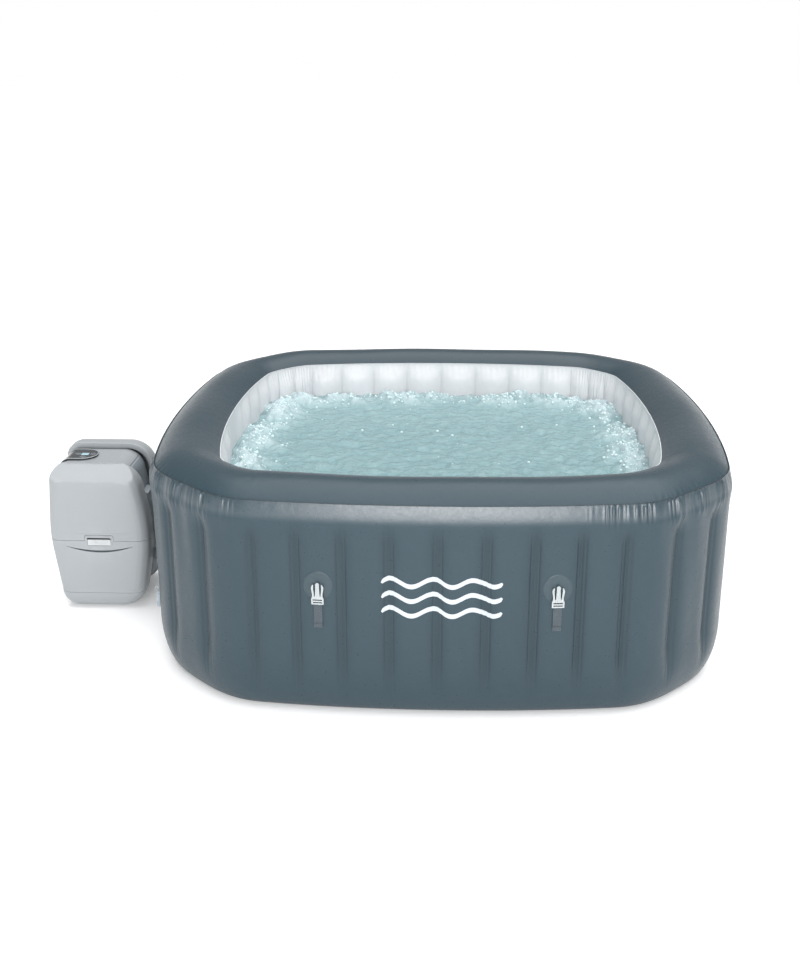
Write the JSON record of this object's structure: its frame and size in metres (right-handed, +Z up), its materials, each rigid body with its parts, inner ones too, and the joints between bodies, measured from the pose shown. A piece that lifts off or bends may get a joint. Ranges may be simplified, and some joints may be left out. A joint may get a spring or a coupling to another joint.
{
  "type": "inflatable hot tub",
  "caption": "Square inflatable hot tub with rounded corners, ribbed walls, a domed rim, cover straps, and a floor-standing pump and heater unit beside it.",
  "frame": {"origin": "centre of the tub's underside, on the surface it stands on", "axes": "+X away from the pump unit, along the longest side; +Y away from the front pair of cover straps; +Z up"},
  "size_m": [2.2114, 1.799, 0.6892],
  "materials": {
    "vinyl_grey": "satin coated vinyl with a fine leather-like grain",
    "vinyl_white": "satin coated vinyl",
    "webbing_grey": "woven polypropylene webbing",
    "buckle_white": "moulded, satin",
    "fitting_grey": "moulded, satin",
    "filter_white": "moulded and pleated, matt",
    "casing_grey": "moulded, fine satin texture",
    "band_grey": "moulded, matt",
    "latch_white": "moulded, satin",
    "panel_dark": "glossy membrane",
    "window_glass": "clear window over a lit display",
    "button_grey": "soft-touch",
    "machine_grey": "moulded, matt",
    "steel": "drawn tube",
    "board_green": "solder mask"
  },
  "bodies": {
    "root": {"outer_wall": "vinyl_grey", "top_rim": "vinyl_grey", "inner_liner": "vinyl_white", "chamber_base": "vinyl_grey", "tub_floor": "vinyl_white", "bubble_channel": "vinyl_white", "wall_beams_front": "vinyl_white", "wall_beams_right": "vinyl_white", "wall_beams_rear": "vinyl_white", "wall_beams_left": "vinyl_white", "water_outlet_fitting": "fitting_grey", "water_inlet_fitting": "fitting_grey", "air_fitting": "fitting_grey", "outlet_screen": "filter_white", "filter_housing": "filter_white", "filter_cartridge": "filter_white", "drain_valve_body": "fitting_grey", "drain_tether": "fitting_grey", "air_valve_body": "fitting_grey", "pump_front_shell": "casing_grey", "pump_rear_shell": "casing_grey", "pump_spine": "band_grey", "pump_base": "band_grey", "port_plate": "band_grey", "control_panel": "panel_dark", "display_window": "window_glass", "pump_motor": "machine_grey", "pump_volute": "band_grey", "air_blower": "machine_grey", "heater_tube": "steel", "circuit_board": "board_green", "cable_gland": "panel_dark"},
    "hatch": {"pump_hatch": "casing_grey"},
    "latch": {"hatch_latch": "latch_white"},
    "power_button": {"power_button": "button_grey"},
    "bubble_button": {"bubble_button": "button_grey"},
    "heat_button": {"heat_button": "button_grey"},
    "outlet_union_nut": {"outlet_union_nut": "fitting_grey"},
    "inlet_union_nut": {"inlet_union_nut": "fitting_grey"},
    "air_union_nut": {"air_union_nut": "fitting_grey"},
    "drain_cap": {"drain_cap": "fitting_grey"},
    "air_valve_cap": {"air_valve_cap": "fitting_grey"},
    "pump_impeller": {"pump_impeller": "band_grey"},
    "blower_fan": {"blower_fan": "band_grey"},
    "buckle_front_left": {"buckle_front_left": "buckle_white"},
    "webbing_front_left": {"webbing_front_left": "webbing_grey"},
    "buckle_front_right": {"buckle_front_right": "buckle_white"},
    "webbing_front_right": {"webbing_front_right": "webbing_grey"},
    "buckle_right_front": {"buckle_right_front": "buckle_white"},
    "webbing_right_front": {"webbing_right_front": "webbing_grey"},
    "buckle_right_rear": {"buckle_right_rear": "buckle_white"},
    "webbing_right_rear": {"webbing_right_rear": "webbing_grey"},
    "buckle_rear_right": {"buckle_rear_right": "buckle_white"},
    "webbing_rear_right": {"webbing_rear_right": "webbing_grey"},
    "buckle_rear_left": {"buckle_rear_left": "buckle_white"},
    "webbing_rear_left": {"webbing_rear_left": "webbing_grey"},
    "buckle_left_rear": {"buckle_left_rear": "buckle_white"},
    "webbing_left_rear": {"webbing_left_rear": "webbing_grey"},
    "buckle_left_front": {"buckle_left_front": "buckle_white"},
    "webbing_left_front": {"webbing_left_front": "webbing_grey"}
  },
  "joints": [
    {"name": "hatch_hinge", "type": "hinge", "parent": "root", "child": "hatch", "pos_m": [-1.14, -0.194, 0.06], "axis": [1, 0, 0], "range_deg": [0, 85]},
    {"name": "latch_slide", "type": "slide", "parent": "hatch", "child": "latch", "axis": [0, 0, 1], "range_m": [0, 0.006], "stiffness_N_per_m": 180, "springref_m": -0.002},
    {"name": "power_button_press", "type": "slide", "parent": "root", "child": "power_button", "axis": [0, 0, -1], "range_m": [0, 0.001], "stiffness_N_per_m": 400, "springref_m": -0.0005},
    {"name": "bubble_button_press", "type": "slide", "parent": "root", "child": "bubble_button", "axis": [0, 0, -1], "range_m": [0, 0.001], "stiffness_N_per_m": 400, "springref_m": -0.0005},
    {"name": "heat_button_press", "type": "slide", "parent": "root", "child": "heat_button", "axis": [0, 0, -1], "range_m": [0, 0.001], "stiffness_N_per_m": 400, "springref_m": -0.0005},
    {"name": "outlet_nut_turn", "type": "hinge", "parent": "root", "child": "outlet_union_nut", "pos_m": [-0.925, -0.015, 0.235], "axis": [-1, 0, 0], "continuous": true},
    {"name": "inlet_nut_turn", "type": "hinge", "parent": "root", "child": "inlet_union_nut", "pos_m": [-0.925, -0.015, 0.335], "axis": [-1, 0, 0], "continuous": true},
    {"name": "air_nut_turn", "type": "hinge", "parent": "root", "child": "air_union_nut", "pos_m": [-0.925, -0.015, 0.135], "axis": [-1, 0, 0], "continuous": true},
    {"name": "drain_cap_turn", "type": "hinge", "parent": "root", "child": "drain_cap", "pos_m": [-0.87312, -0.45499, 0.165], "axis": [-0.9922, -0.1249, 0], "range_deg": [0, 360]},
    {"name": "air_valve_cap_turn", "type": "hinge", "parent": "root", "child": "air_valve_cap", "pos_m": [-0.87312, 0.45499, 0.588], "axis": [-0.9922, 0.1249, 0], "range_deg": [0, 360]},
    {"name": "impeller_spin", "type": "hinge", "parent": "root", "child": "pump_impeller", "pos_m": [-1.09, -0.027, 0.0805], "axis": [1, 0, 0], "continuous": true},
    {"name": "fan_spin", "type": "hinge", "parent": "root", "child": "blower_fan", "pos_m": [-1.138, -0.027, 0.184], "axis": [0, -1, 0], "continuous": true},
    {"name": "buckle_front_left_fold", "type": "hinge", "parent": "root", "child": "buckle_front_left", "pos_m": [-0.33062, -0.89475, 0.357], "axis": [0.9963, -0.0855, 0], "range_deg": [0, 90]},
    {"name": "webbing_front_left_swing", "type": "hinge", "parent": "root", "child": "webbing_front_left", "pos_m": [-0.33062, -0.89475, 0.357], "axis": [-0.9963, 0.0855, 0], "range_deg": [0, 60]},
    {"name": "buckle_front_right_fold", "type": "hinge", "parent": "root", "child": "buckle_front_right", "pos_m": [0.33062, -0.89475, 0.357], "axis": [0.9963, 0.0855, 0], "range_deg": [0, 90]},
    {"name": "webbing_front_right_swing", "type": "hinge", "parent": "root", "child": "webbing_front_right", "pos_m": [0.33062, -0.89475, 0.357], "axis": [-0.9963, -0.0855, 0], "range_deg": [0, 60]},
    {"name": "buckle_right_front_fold", "type": "hinge", "parent": "root", "child": "buckle_right_front", "pos_m": [0.89475, -0.33062, 0.357], "axis": [0.0855, 0.9963, 0], "range_deg": [0, 90]},
    {"name": "webbing_right_front_swing", "type": "hinge", "parent": "root", "child": "webbing_right_front", "pos_m": [0.89475, -0.33062, 0.357], "axis": [-0.0855, -0.9963, 0], "range_deg": [0, 60]},
    {"name": "buckle_right_rear_fold", "type": "hinge", "parent": "root", "child": "buckle_right_rear", "pos_m": [0.89475, 0.33062, 0.357], "axis": [-0.0855, 0.9963, 0], "range_deg": [0, 90]},
    {"name": "webbing_right_rear_swing", "type": "hinge", "parent": "root", "child": "webbing_right_rear", "pos_m": [0.89475, 0.33062, 0.357], "axis": [0.0855, -0.9963, 0], "range_deg": [0, 60]},
    {"name": "buckle_rear_right_fold", "type": "hinge", "parent": "root", "child": "buckle_rear_right", "pos_m": [0.33062, 0.89475, 0.357], "axis": [-0.9963, 0.0855, 0], "range_deg": [0, 90]},
    {"name": "webbing_rear_right_swing", "type": "hinge", "parent": "root", "child": "webbing_rear_right", "pos_m": [0.33062, 0.89475, 0.357], "axis": [0.9963, -0.0855, 0], "range_deg": [0, 60]},
    {"name": "buckle_rear_left_fold", "type": "hinge", "parent": "root", "child": "buckle_rear_left", "pos_m": [-0.33062, 0.89475, 0.357], "axis": [-0.9963, -0.0855, 0], "range_deg": [0, 90]},
    {"name": "webbing_rear_left_swing", "type": "hinge", "parent": "root", "child": "webbing_rear_left", "pos_m": [-0.33062, 0.89475, 0.357], "axis": [0.9963, 0.0855, 0], "range_deg": [0, 60]},
    {"name": "buckle_left_rear_fold", "type": "hinge", "parent": "root", "child": "buckle_left_rear", "pos_m": [-0.89475, 0.33062, 0.357], "axis": [-0.0855, -0.9963, 0], "range_deg": [0, 90]},
    {"name": "webbing_left_rear_swing", "type": "hinge", "parent": "root", "child": "webbing_left_rear", "pos_m": [-0.89475, 0.33062, 0.357], "axis": [0.0855, 0.9963, 0], "range_deg": [0, 60]},
    {"name": "buckle_left_front_fold", "type": "hinge", "parent": "root", "child": "buckle_left_front", "pos_m": [-0.89475, -0.33062, 0.357], "axis": [0.0855, -0.9963, 0], "range_deg": [0, 90]},
    {"name": "webbing_left_front_swing", "type": "hinge", "parent": "root", "child": "webbing_left_front", "pos_m": [-0.89475, -0.33062, 0.357], "axis": [-0.0855, 0.9963, 0], "range_deg": [0, 60]}
  ]
}
